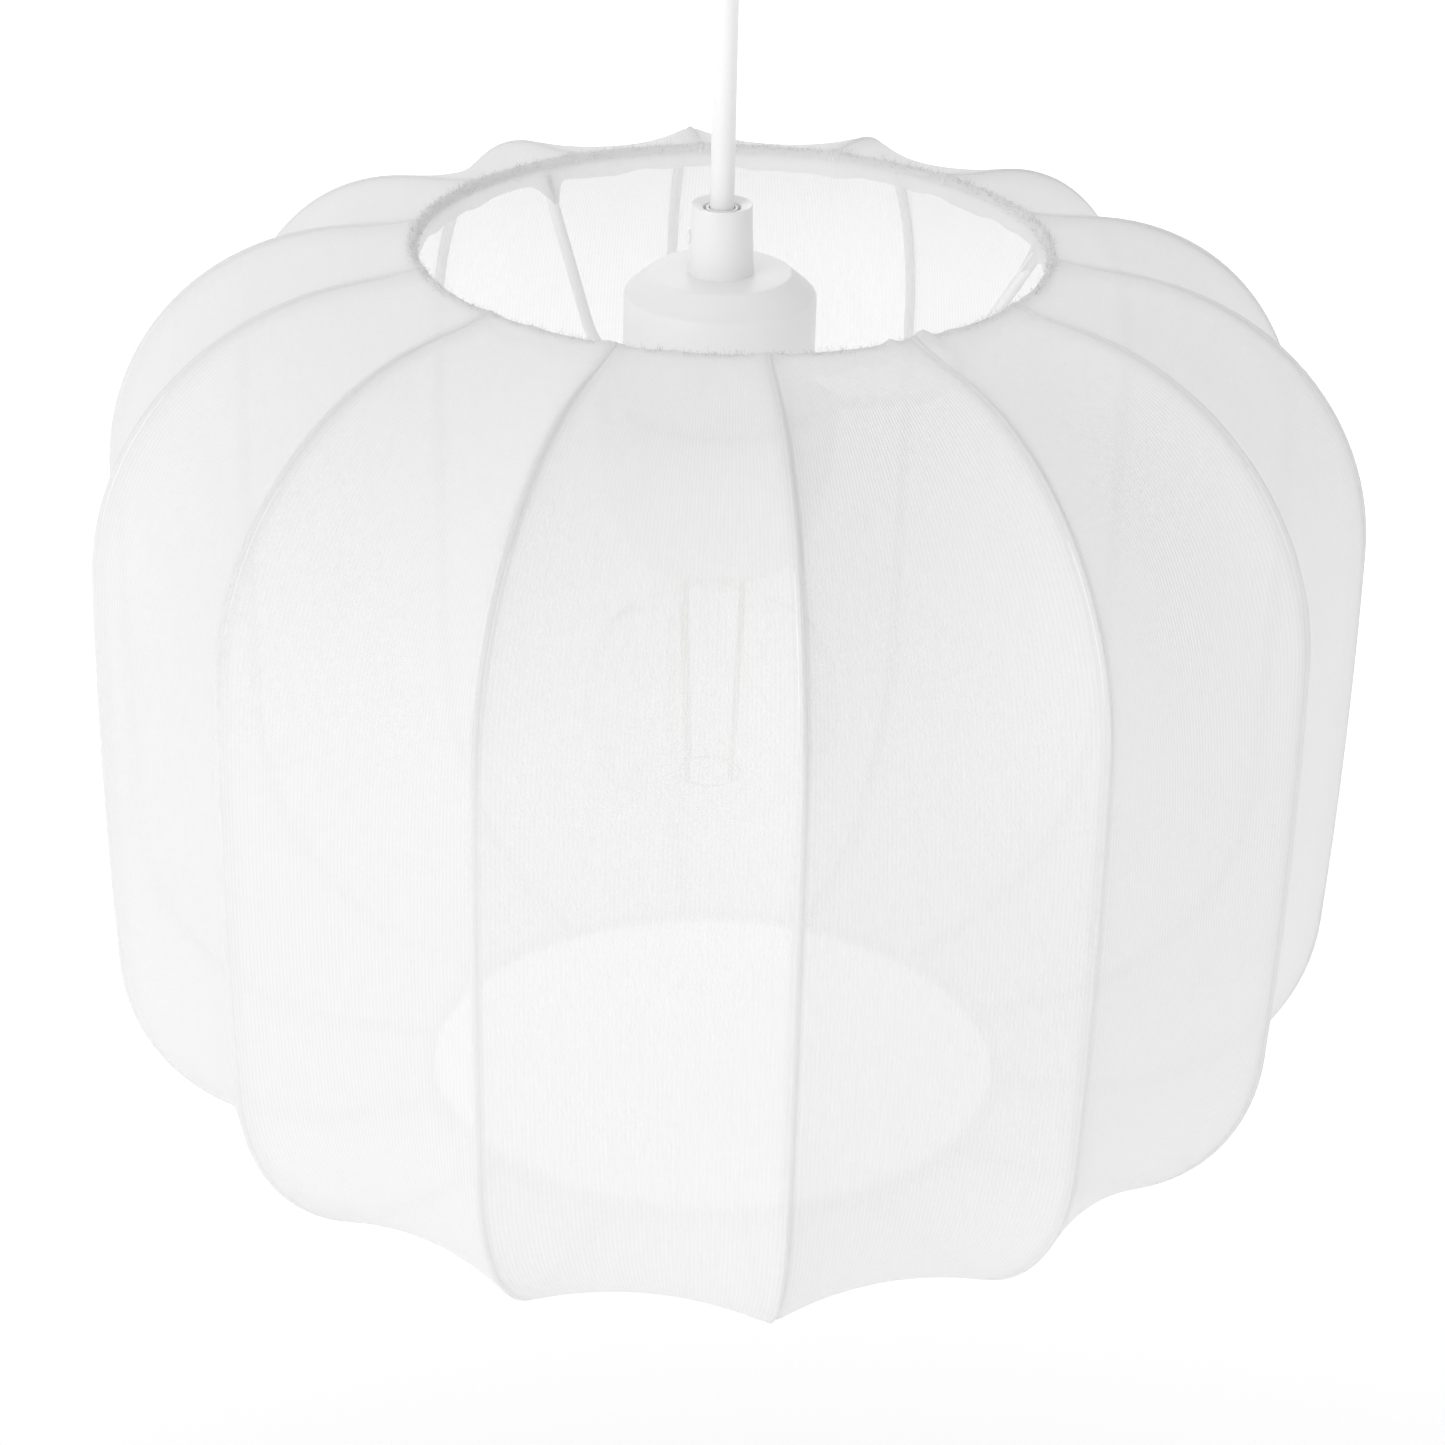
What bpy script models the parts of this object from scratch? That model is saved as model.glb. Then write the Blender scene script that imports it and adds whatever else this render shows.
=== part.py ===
"""Pendant lampshade: a white jersey sleeve stretched over a wire frame of bulging ribs, on a pendant cord set
with a lampholder, a filament bulb and a ceiling cup. Metres, +Z up, origin on the ceiling under the cup."""

import math

import bmesh
import bpy
import numpy as np

MM = 0.001

# Driving sizes, in millimetres where MM follows.
RING_RADIUS = 79.6 * MM  # wire centre of the top and the bottom ring
WIRE = 3.0 * MM  # diameter of the ring, rib and arm wire
CORD = 6.0 * MM
RIBS = 14
FIRST_RIB = math.radians(7.6)  # turn of the first rib from -Y towards +X
SHADE_TOP = -135 * MM  # height of the shade's top edge under the ceiling
FABRIC = 0.6 * MM
GAP = 0.3 * MM

# The rib's outer line: headings below the horizontal, with the radius or length between them.
SHOULDER_SLOPE, SHOULDER_RUN, SHOULDER_BEND = math.radians(6.0), 18.6 * MM, 73 * MM
SIDE_TOP, SIDE_BOTTOM, SIDE_BEND = math.radians(88.4), math.radians(92.13), 1660 * MM
BASE_BEND, BASE_SLOPE = 62.7 * MM, math.radians(177.4)
LIP = WIRE / 2 + GAP + FABRIC  # radius of the fabric's fold over a ring
RIB_INSET = 2.8 * MM  # from the fabric's outer face to a rib's wire centre

# Stretched sleeve between two ribs.
GORE_SPANS = 4
PULL_TOP, PULL_BASE = 1.4, 0.6  # pull along the ribs for each unit of pull around them

# Spider: three arms from the top ring to a washer under the lampholder's cap.
ARM_TURNS = [math.radians(a) for a in (100.3, 220.3, 340.3)]
ARM_START, ARM_ELBOW = 75.0 * MM, 55.0 * MM  # radii
ARM_TOP_DROP, CARRIER_DROP = 2.8 * MM, 45.2 * MM  # below the shade's top edge
CARRIER_OUT, CARRIER_IN, CARRIER_THICK = 31.5 * MM, 21.3 * MM, 1.5 * MM
ELBOW_BEND = 7 * MM

SIDES = 24  # facets round a turned piece


# ---------------------------------------------------------------- helpers


def clear_scene():
    for obj in list(bpy.data.objects):
        bpy.data.objects.remove(obj, do_unlink=True)


def material(name, colour, roughness, metallic=0.0, alpha=1.0):
    made = bpy.data.materials.get(name)
    if made is None:
        made = bpy.data.materials.new(name)
        made.use_nodes = True
        shader = made.node_tree.nodes["Principled BSDF"]
        shader.inputs["Base Color"].default_value = (*colour, 1.0)
        shader.inputs["Roughness"].default_value = roughness
        shader.inputs["Metallic"].default_value = metallic
        shader.inputs["Alpha"].default_value = alpha
    return made


def put(name, mesh, look, sharp=math.radians(35)):
    mesh.shade_smooth()
    mesh.set_sharp_from_angle(angle=sharp)
    obj = bpy.data.objects.new(name, mesh)
    bpy.context.scene.collection.objects.link(obj)
    obj.data.materials.append(look)
    return obj


def turned(name, outline, look, sides=SIDES, centre=(0.0, 0.0)):
    """Closed (radius, height) outline spun round a vertical axis."""
    bm = bmesh.new()
    corners = [bm.verts.new((r, 0, z)) for r, z in outline]
    edges = [bm.edges.new(pair) for pair in zip(corners, corners[1:] + corners[:1])]
    bmesh.ops.spin(
        bm, geom=corners + edges, axis=(0, 0, 1), cent=(0, 0, 0), angle=math.tau, steps=sides,
        use_merge=True, use_duplicate=False,
    )
    bmesh.ops.remove_doubles(bm, verts=bm.verts, dist=1e-6)
    on_axis = [e for e in bm.edges if all(math.hypot(v.co.x, v.co.y) < 1e-7 for v in e.verts)]
    bmesh.ops.delete(bm, geom=on_axis, context="EDGES")
    bmesh.ops.recalc_face_normals(bm, faces=bm.faces)
    bmesh.ops.translate(bm, verts=bm.verts, vec=(*centre, 0))
    mesh = bpy.data.meshes.new(name)
    bm.to_mesh(mesh)
    bm.free()
    return put(name, mesh, look)


def wire(name, points, diameter, look, closed=False, facets=1):
    """Round wire along a list of points, capped at its ends."""
    curve = bpy.data.curves.new(name, "CURVE")
    curve.dimensions = "3D"
    curve.bevel_depth = diameter / 2
    curve.bevel_resolution = facets
    curve.use_fill_caps = not closed
    line = curve.splines.new("POLY")
    line.points.add(len(points) - 1)
    for point, place in zip(line.points, points):
        point.co = (*place, 1.0)
    line.use_cyclic_u = closed
    obj = bpy.data.objects.new(name, curve)
    bpy.context.scene.collection.objects.link(obj)
    curve.materials.append(look)
    return obj


def box(name, size, centre, look, bevel=0.0):
    bm = bmesh.new()
    bmesh.ops.create_cube(bm, size=1.0)
    bmesh.ops.scale(bm, vec=size, verts=bm.verts)
    bmesh.ops.translate(bm, vec=centre, verts=bm.verts)
    if bevel:
        bmesh.ops.bevel(bm, geom=bm.edges[:], offset=bevel, affect="EDGES", segments=1, profile=0.5)
    mesh = bpy.data.meshes.new(name)
    bm.to_mesh(mesh)
    bm.free()
    return put(name, mesh, look)


def channel(name, outline, width, look):
    """Closed (x, height) outline pushed out to both sides along Y."""
    bm = bmesh.new()
    face = bm.faces.new([bm.verts.new((x, -width / 2, z)) for x, z in outline])
    pushed = bmesh.ops.extrude_face_region(bm, geom=[face])["geom"]
    moved = [v for v in pushed if isinstance(v, bmesh.types.BMVert)]
    bmesh.ops.translate(bm, vec=(0, width, 0), verts=moved)
    bmesh.ops.recalc_face_normals(bm, faces=bm.faces)
    mesh = bpy.data.meshes.new(name)
    bm.to_mesh(mesh)
    bm.free()
    return put(name, mesh, look)


def cutter(name, radius, start, end):
    """Guide cylinder from start to end, hidden, for a Boolean."""
    start, end = np.array(start), np.array(end)
    along = end - start
    bm = bmesh.new()
    bmesh.ops.create_cone(
        bm, cap_ends=True, segments=16, radius1=radius, radius2=radius, depth=float(np.linalg.norm(along))
    )
    mesh = bpy.data.meshes.new(name)
    bm.to_mesh(mesh)
    bm.free()
    guide = bpy.data.objects.new(name, mesh)
    bpy.context.scene.collection.objects.link(guide)
    guide.location = (start + end) / 2
    guide.rotation_euler = (0, math.acos(along[2] / np.linalg.norm(along)), math.atan2(along[1], along[0]))
    guide.hide_render = True
    guide.display_type = "WIRE"
    return guide


def cut(obj, guide):
    modifier = obj.modifiers.new("cut_" + guide.name, "BOOLEAN")
    modifier.operation = "DIFFERENCE"
    modifier.object = guide


def around(radius, height, turn):
    """Point at a radius and height, turned from -Y towards +X."""
    return (radius * math.sin(turn), -radius * math.cos(turn), height)


def arc(centre, radius, start, end, steps):
    """(radius, height) points on an arc, both ends included, angles in degrees."""
    angles = np.radians(np.linspace(start, end, steps + 1))
    return [(centre[0] + radius * math.cos(a), centre[1] + radius * math.sin(a)) for a in angles]


# ---------------------------------------------------------------- the rib's line


def outer_line():
    """Stations (radius, height, heading) of the fabric's outer face over a rib, from the lip inside the top
    ring, over the shoulder and down the side, to the lip inside the bottom ring."""
    stations = []

    def bend(place, heading, goal, radius, steps):
        step = (goal - heading) / steps
        chord = 2 * radius * math.sin(abs(step) / 2)
        for _ in range(steps):
            middle = heading + step / 2
            place = (place[0] + chord * math.cos(middle), place[1] + chord * math.sin(middle))
            heading += step
            stations.append((*place, heading))
        return place, heading

    def run(place, heading, length, steps):
        for _ in range(steps):
            place = (
                place[0] + length / steps * math.cos(heading),
                place[1] + length / steps * math.sin(heading),
            )
            stations.append((*place, heading))
        return place

    place, heading = (RING_RADIUS - LIP, SHADE_TOP - LIP), math.pi / 2
    stations.append((*place, heading))
    place, heading = bend(place, heading, -SHOULDER_SLOPE, LIP, 2)
    place = run(place, heading, SHOULDER_RUN, 1)
    place, heading = bend(place, heading, -SIDE_TOP, SHOULDER_BEND, 5)
    place, heading = bend(place, heading, -SIDE_BOTTOM, SIDE_BEND, 2)
    place, heading = bend(place, heading, -BASE_SLOPE, BASE_BEND, 5)
    lip_reach = LIP * math.sin(BASE_SLOPE)
    place = run(place, heading, (place[0] - RING_RADIUS - lip_reach) / -math.cos(heading), 1)
    bend(place, heading, -1.5 * math.pi, LIP, 2)
    return np.array(stations)


def inset(line, depth):
    """The line moved towards the inside of the shade."""
    headings = line[:, 2]
    return np.column_stack([
        line[:, 0] + depth * np.sin(headings), line[:, 1] - depth * np.cos(headings), headings
    ])


LINE = outer_line()
LIP_STEPS = 2
BASE_RING_HEIGHT = float(LINE[-1, 1])


def rib_line():
    """Wire centre of one rib, stopping a gap short of both rings."""
    path = inset(LINE, RIB_INSET)[LIP_STEPS:-LIP_STEPS, :2]
    reach = WIRE + GAP
    out = [(RING_RADIUS + reach, float(path[0, 1]) - reach * math.tan(SHOULDER_SLOPE))]
    out += [tuple(p) for p in path[1:-1]]
    out.append((RING_RADIUS + reach, float(path[-1, 1])))
    return out


# ---------------------------------------------------------------- frame and cover


def stretched_sleeve():
    """One span of the sleeve between two ribs, as rows of (x, y, z) points: pinned on the ribs and the rings,
    and settled where its pull along the ribs balances its pull around them."""
    columns = GORE_SPANS + 1
    turns = np.linspace(0, math.tau / RIBS, columns)
    rows = len(LINE)
    ring = np.array([[around(r, z, t) for t in turns] for r, z, _ in LINE])
    share = np.linspace(0, 1, columns)[None, :, None]
    sheet = ring[:, :1] * (1 - share) + ring[:, -1:] * share
    pinned = LIP_STEPS + 1
    sheet[:pinned], sheet[-pinned:] = ring[:pinned], ring[-pinned:]
    length = np.linalg.norm(np.diff(LINE[:, :2], axis=0), axis=1)
    pull = np.linspace(PULL_TOP, PULL_BASE, rows)
    for _ in range(400):
        width = np.linalg.norm(np.diff(sheet, axis=1), axis=2).mean(axis=1)
        for row in range(pinned, rows - pinned):
            above, below = pull[row] / length[row - 1], pull[row] / length[row]
            reach = (length[row - 1] + length[row]) / 2
            across = reach / width[row] ** 2
            inner = slice(1, -1)
            sheet[row, inner] = (
                above * sheet[row - 1, inner] + below * sheet[row + 1, inner]
                + across * (sheet[row, :-2] + sheet[row, 2:])
            ) / (above + below + 2 * across)
    return sheet


def cover(look):
    """The jersey sleeve: outer face, inner face one fabric thickness in, joined along both lips."""
    gore = stretched_sleeve()
    rows = len(gore)
    grid = []
    for rib in range(RIBS):
        turn = FIRST_RIB + rib * math.tau / RIBS
        turned_gore = gore[:, :-1] @ np.array([
            [math.cos(turn), math.sin(turn), 0], [-math.sin(turn), math.cos(turn), 0], [0, 0, 1]
        ])
        grid.append(turned_gore)
    outer = np.concatenate(grid, axis=1)
    columns = outer.shape[1]
    bm = bmesh.new()
    verts = [[bm.verts.new(outer[i, j]) for j in range(columns)] for i in range(rows)]
    for i in range(rows - 1):
        for j in range(columns):
            k = (j + 1) % columns
            bm.faces.new((verts[i][j], verts[i + 1][j], verts[i + 1][k], verts[i][k]))
    mesh = bpy.data.meshes.new("fabric_cover")
    bm.to_mesh(mesh)
    bm.free()
    obj = put("fabric_cover", mesh, look, sharp=math.radians(60))
    wall = obj.modifiers.new("wall", "SOLIDIFY")
    wall.thickness = FABRIC
    wall.offset = -1
    wall.use_even_offset = True
    return obj


def frame(look):
    steps = RIBS * GORE_SPANS
    turns = [FIRST_RIB + k * math.tau / steps for k in range(steps)]
    top = SHADE_TOP - LIP
    wire("top_ring", [around(RING_RADIUS, top, t) for t in turns], WIRE, look, closed=True)
    wire("bottom_ring", [around(RING_RADIUS, BASE_RING_HEIGHT, t) for t in turns], WIRE, look, closed=True)
    line = rib_line()
    for rib in range(RIBS):
        turn = FIRST_RIB + rib * math.tau / RIBS
        wire(f"rib_{rib + 1:02d}", [around(r, z, turn) for r, z in line], WIRE, look)


def spider(look):
    """Three bent arms and the washer that the lampholder's ring nut clamps."""
    level = SHADE_TOP - CARRIER_DROP
    for number, turn in enumerate(ARM_TURNS, 1):
        start = np.array([ARM_START, SHADE_TOP - ARM_TOP_DROP])
        elbow = np.array([ARM_ELBOW, level])
        end = np.array([CARRIER_OUT + GAP, level])
        come, go = (elbow - start), (end - elbow)
        come, go = come / np.linalg.norm(come), go / np.linalg.norm(go)
        shares = (0, 0.25, 0.5, 0.75, 1)
        bow = [elbow - come * ELBOW_BEND * (1 - t) ** 2 + go * ELBOW_BEND * t**2 for t in shares]
        path = [start, *bow, end]
        wire(f"spider_arm_{number}", [around(r, z, turn) for r, z in path], WIRE, look)
    half = CARRIER_THICK / 2
    turned("carrier_ring", [
        (CARRIER_IN, level - half), (CARRIER_OUT, level - half),
        (CARRIER_OUT, level + half), (CARRIER_IN, level + half),
    ], look)


# ---------------------------------------------------------------- lampholder


CAP_TOP, CAP_OUT, CAP_FLAT = SHADE_TOP - 8.6 * MM, 24.2 * MM, 17.6 * MM
CAP_EDGE = SHADE_TOP - CARRIER_DROP + CARRIER_THICK / 2 + GAP
CAP_WALL = 2.2 * MM
COLLAR_TOP = SHADE_TOP + 9.0 * MM
COLLAR_BORE = 4.7 * MM
COLLAR_STEM = 6.0 * MM  # threaded stem through the cap
NUT_TOP = SHADE_TOP - CARRIER_DROP - CARRIER_THICK / 2 - GAP
SKIRT_END = SHADE_TOP - 85.0 * MM
SKIRT_OUT = CARRIER_IN - 0.4 * MM
SOCKET_FLOOR = SHADE_TOP - 50.0 * MM
CONTACT_LEVEL = SHADE_TOP - 52.4 * MM
CORD_END = SHADE_TOP - 14.0 * MM


def lampholder(plastic, ceramic, brass, wire_look):
    shoulder = CAP_TOP - 5.5 * MM
    turned("holder_cap", [
        (COLLAR_STEM + GAP, CAP_TOP), (CAP_FLAT, CAP_TOP), (CAP_FLAT + 2.2 * MM, CAP_TOP - 1.0 * MM),
        (CAP_OUT - 1.0 * MM, shoulder + 1.6 * MM), (CAP_OUT, shoulder - 0.6 * MM), (CAP_OUT, CAP_EDGE),
        (CAP_OUT - CAP_WALL, CAP_EDGE), (CAP_OUT - CAP_WALL, shoulder - 1.0 * MM),
        (CAP_FLAT, CAP_TOP - CAP_WALL), (COLLAR_STEM + GAP, CAP_TOP - CAP_WALL),
    ], plastic)
    turned("cord_grip_collar", [
        (COLLAR_BORE, COLLAR_TOP), (7.3 * MM, COLLAR_TOP), (7.65 * MM, COLLAR_TOP - 0.4 * MM),
        (8.35 * MM, CAP_TOP + GAP), (COLLAR_STEM, CAP_TOP + GAP), (COLLAR_STEM, CAP_TOP - 4.0 * MM),
        (COLLAR_BORE, CAP_TOP - 4.0 * MM),
    ], plastic)
    turned("grip_sleeve", [
        (3.35 * MM, COLLAR_TOP - 1.4 * MM), (4.0 * MM, COLLAR_TOP - 1.4 * MM),
        (4.3 * MM, COLLAR_TOP - 5.0 * MM), (4.3 * MM, CAP_TOP - 3.0 * MM), (3.35 * MM, CAP_TOP - 3.0 * MM),
    ], plastic)
    turned("collar_lock_nut", [
        (COLLAR_STEM + GAP, CAP_TOP - CAP_WALL - GAP), (9.5 * MM, CAP_TOP - CAP_WALL - GAP),
        (9.5 * MM, CAP_TOP - CAP_WALL - 2.3 * MM), (COLLAR_STEM + GAP, CAP_TOP - CAP_WALL - 2.3 * MM),
    ], brass)
    block_top = CAP_TOP - 14.0 * MM
    turned("socket_body", [
        (0.0, block_top), (18.0 * MM, block_top), (18.0 * MM, NUT_TOP + 6 * MM),
        (SKIRT_OUT, NUT_TOP + 4 * MM), (SKIRT_OUT, SKIRT_END + 1.0 * MM),
        (SKIRT_OUT - 1.0 * MM, SKIRT_END), (15.6 * MM, SKIRT_END),
        (15.0 * MM, SKIRT_END + 1.5 * MM), (15.0 * MM, SOCKET_FLOOR), (0.0, SOCKET_FLOOR),
    ], ceramic)
    turned("screw_shell", [
        (13.7 * MM, SKIRT_END + 9 * MM), (14.3 * MM, SKIRT_END + 9 * MM), (14.3 * MM, SOCKET_FLOOR - GAP),
        (13.7 * MM, SOCKET_FLOOR - GAP),
    ], brass)
    turned("centre_contact", [
        (0.0, SOCKET_FLOOR - GAP), (5.0 * MM, SOCKET_FLOOR - GAP), (5.0 * MM, SOCKET_FLOOR - 0.9 * MM),
        (2.5 * MM, SOCKET_FLOOR - 1.8 * MM), (0.0, SOCKET_FLOOR - 1.8 * MM),
    ], brass, sides=16)
    for side, name in ((-1, "left"), (1, "right")):
        post = (side * 10.5 * MM, 0.0)
        turned(f"terminal_{name}", [
            (0.0, block_top + GAP), (3.0 * MM, block_top + GAP), (3.0 * MM, block_top + 4.3 * MM),
            (0.0, block_top + 4.3 * MM),
        ], brass, sides=12, centre=post)
        wire(f"core_wire_{name}", [
            (side * 1.4 * MM, 0, CORD_END - 0.4 * MM), (side * 2.2 * MM, 0, CORD_END - 1.8 * MM),
            (side * 5.5 * MM, 0, block_top + 6.6 * MM), (side * 8.2 * MM, 0, block_top + 5.7 * MM),
            (side * 10.5 * MM, 0, block_top + 5.6 * MM),
        ], 1.6 * MM, wire_look)


def ring_nut(plastic):
    """Bell-shaped nut on the lampholder's skirt, which clamps the spider's washer under the cap."""
    bell = [(30.4 * MM, NUT_TOP), (30.6 * MM, NUT_TOP - 6 * MM), (29.4 * MM, NUT_TOP - 17 * MM),
            (26.4 * MM, NUT_TOP - 27 * MM), (22.6 * MM, NUT_TOP - 35 * MM), (22.0 * MM, NUT_TOP - 37 * MM)]
    bore = CARRIER_IN
    turned("shade_ring_nut", [
        (bore, NUT_TOP), *bell, (bore, NUT_TOP - 37 * MM), (bore, NUT_TOP - 33 * MM),
        (24.4 * MM, NUT_TOP - 26 * MM), (27.2 * MM, NUT_TOP - 16.5 * MM), (28.4 * MM, NUT_TOP - 6 * MM),
        (28.2 * MM, NUT_TOP - 2.6 * MM), (bore, NUT_TOP - 2.6 * MM),
    ], plastic)


# ---------------------------------------------------------------- bulb


GLOBE, GLOBE_LEVEL = 34.0 * MM, SHADE_TOP - 128.5 * MM
NECK, GLASS_TOP = 13.6 * MM, SKIRT_END - 0.5 * MM
GLASS = 0.9 * MM
BULB_CAP = 13.0 * MM
BULB_CAP_END = GLASS_TOP - 1.5 * MM
FILAMENT_TOP, FILAMENT_END = SHADE_TOP - 97 * MM, SHADE_TOP - 149 * MM


def bulb(glass, metal, black, filament):
    """Filament bulb: screw cap and tip, glass with its neck open into the cap, stem, and four filaments."""
    neck_joint = -52.0  # degrees from the globe's top to where the neck's flare leaves it
    outer = [(NECK, GLASS_TOP), (NECK, GLASS_TOP - 3 * MM), (NECK + 2.2 * MM, GLASS_TOP - 9 * MM),
             (NECK + 8.0 * MM, GLASS_TOP - 18 * MM)]
    outer += arc((0, GLOBE_LEVEL), GLOBE, 90 + neck_joint, -90, 9)
    inner = arc((0, GLOBE_LEVEL), GLOBE - GLASS, -90, 90 + neck_joint, 9)
    inner += [
        (NECK + 8.0 * MM - GLASS, GLASS_TOP - 18 * MM - GLASS / 2),
        (NECK + 2.2 * MM - GLASS, GLASS_TOP - 9 * MM),
        (NECK - GLASS, GLASS_TOP - 3 * MM), (NECK - GLASS, GLASS_TOP),
    ]
    outer[-1], inner[0] = (0.0, outer[-1][1]), (0.0, inner[0][1])
    turned("bulb_glass", outer + inner, glass)
    top = CONTACT_LEVEL - 3.2 * MM
    turned("bulb_cap", [
        (6.0 * MM, top), (BULB_CAP - 1.5 * MM, top - 1.5 * MM), (BULB_CAP, top - 3.5 * MM),
        (BULB_CAP, SKIRT_END + 7 * MM), (NECK + 0.9 * MM, SKIRT_END + 4 * MM),
        (NECK + 0.9 * MM, BULB_CAP_END), (NECK + GAP, BULB_CAP_END), (NECK + GAP, SKIRT_END + 3.6 * MM),
        (BULB_CAP - 0.6 * MM, SKIRT_END + 7 * MM), (BULB_CAP - 0.6 * MM, top - 3.6 * MM),
        (6.0 * MM, top - 1.4 * MM),
    ], metal)
    turned("bulb_insulator", [
        (0.0, CONTACT_LEVEL - 1.4 * MM), (4.4 * MM, CONTACT_LEVEL - 1.4 * MM), (5.7 * MM, top),
        (5.7 * MM, top - 2.6 * MM), (0.0, top - 2.6 * MM),
    ], black, sides=16)
    turned("bulb_tip", [
        (0.0, CONTACT_LEVEL), (2.4 * MM, CONTACT_LEVEL - 0.2 * MM), (3.6 * MM, CONTACT_LEVEL - 1.1 * MM),
        (0.0, CONTACT_LEVEL - 1.1 * MM),
    ], metal, sides=16)
    turned("bulb_stem", [
        (0.0, FILAMENT_TOP - 30 * MM), (1.6 * MM, FILAMENT_TOP - 29 * MM), (1.8 * MM, FILAMENT_TOP + 2 * MM),
        (4.0 * MM, FILAMENT_TOP + 8 * MM), (NECK - GLASS - 1.2 * MM, GLASS_TOP - 1.0 * MM),
        (NECK - GLASS - 2.0 * MM, GLASS_TOP - 1.0 * MM), (0.0, FILAMENT_TOP + 12 * MM),
    ], glass, sides=16)
    for number in range(4):
        turn = math.radians(45 + 90 * number)
        path = [around(10.8 * MM, FILAMENT_TOP, turn), around(8.2 * MM, FILAMENT_END, turn)]
        wire(f"filament_{number + 1}", path, 1.6 * MM, filament)
    steps = 16
    hoop = [around(8.2 * MM, FILAMENT_END - 1.4 * MM, k * math.tau / steps) for k in range(steps)]
    wire("filament_hoop", hoop, 0.6 * MM, metal, closed=True)


# ---------------------------------------------------------------- cord and ceiling fitting


CUP_OUT, CUP_HEIGHT, CUP_WALL = 39 * MM, 42 * MM, 1.8 * MM
CUP_HOLE = 6.4 * MM
SWING_LEVEL = -(CUP_HEIGHT + 5.0 * MM)  # where the cord bends as the lamp swings
GRIP_BORE = 3.9 * MM
BRACKET = (70 * MM, 14 * MM, 1.5 * MM)
FIXING_REACH = 22 * MM  # from the middle to a ceiling screw's hole


def cord(look):
    steps = 9
    levels = np.linspace(SWING_LEVEL, CORD_END, steps)
    wire("cord", [(0, 0, z) for z in levels], CORD, look, facets=3)
    tail = np.linspace(-20.5 * MM, SWING_LEVEL + 1.7 * MM, 3)
    wire("cord_tail", [(0, 0, z) for z in tail], CORD, look, facets=3)


def ceiling_fitting(plastic, steel, brass):
    floor = -CUP_HEIGHT
    cup = turned("ceiling_cup", [
        (CUP_OUT - CUP_WALL, 0.0), (CUP_OUT, 0.0), (CUP_OUT, -8 * MM), (CUP_OUT - 2.2 * MM, -17 * MM),
        (CUP_OUT - 8 * MM, -26 * MM), (CUP_OUT - 17.5 * MM, -34.5 * MM), (14 * MM, floor + 0.8 * MM),
        (11.5 * MM, floor), (CUP_HOLE, floor), (CUP_HOLE, floor + CUP_WALL),
        (13 * MM, floor + CUP_WALL + 1 * MM),
        (CUP_OUT - 18.6 * MM, -32.8 * MM), (CUP_OUT - 9.4 * MM, -24.8 * MM),
        (CUP_OUT - CUP_WALL - 2.2 * MM, -16.6 * MM), (CUP_OUT - CUP_WALL, -8 * MM),
    ], plastic, sides=32)
    screw_level = -5.5 * MM
    long, wide, thick = BRACKET
    drop = 10 * MM
    bracket = channel("ceiling_bracket", [
        (-long / 2, 0.0), (-long / 2, -drop), (thick - long / 2, -drop), (thick - long / 2, -thick),
        (long / 2 - thick, -thick), (long / 2 - thick, -drop), (long / 2, -drop), (long / 2, 0.0),
    ], wide, steel)
    for side, name in ((-1, "left"), (1, "right")):
        near, far = (side * 30 * MM, 0, screw_level), (side * 42 * MM, 0, screw_level)
        hole = cutter(f"screw_hole_{name}", 2.3 * MM, near, far)
        cut(cup, hole)
        cut(bracket, hole)
        fixing = side * FIXING_REACH
        cut(bracket, cutter(f"fixing_hole_{name}", 2.4 * MM, (fixing, 0, -3 * MM), (fixing, 0, 1 * MM)))
        cup_screw(name, side, screw_level, steel)
    block_middle = (0, 0, -thick - GAP - 8.5 * MM)
    box("terminal_block", (24 * MM, 15 * MM, 17 * MM), block_middle, plastic, bevel=1.2 * MM)
    grip_top, grip_end = floor + 9 * MM, floor - 7 * MM
    turned("cup_grip", [
        (GRIP_BORE, grip_top), (CUP_HOLE - GAP, grip_top), (CUP_HOLE - GAP, floor - GAP),
        (9.2 * MM, floor - GAP), (9.2 * MM, floor - 2.5 * MM), (7.2 * MM, grip_end), (5.4 * MM, grip_end),
        (GRIP_BORE, SWING_LEVEL + 2.2 * MM),
    ], plastic)
    turned("grip_lock_nut", [
        (CUP_HOLE, grip_top - 1 * MM), (10.5 * MM, grip_top - 1 * MM), (10.5 * MM, grip_top - 4.2 * MM),
        (CUP_HOLE, grip_top - 4.2 * MM),
    ], brass)


def cup_screw(name, side, level, look):
    """Pan-head screw through the cup's wall into the bracket's tab, lying along X."""
    outline = [(0.0, 4.6 * MM), (2.6 * MM, 4.2 * MM), (3.4 * MM, 2.4 * MM), (3.4 * MM, 1.2 * MM),
               (1.9 * MM, 1.2 * MM), (1.9 * MM, -6.5 * MM), (0.0, -6.5 * MM)]
    screw = turned(f"cup_screw_{name}", outline, look, sides=12)
    screw.rotation_euler = (0, side * math.pi / 2, 0)
    screw.location = (side * (CUP_OUT - 0.9 * MM), 0, level)


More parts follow.
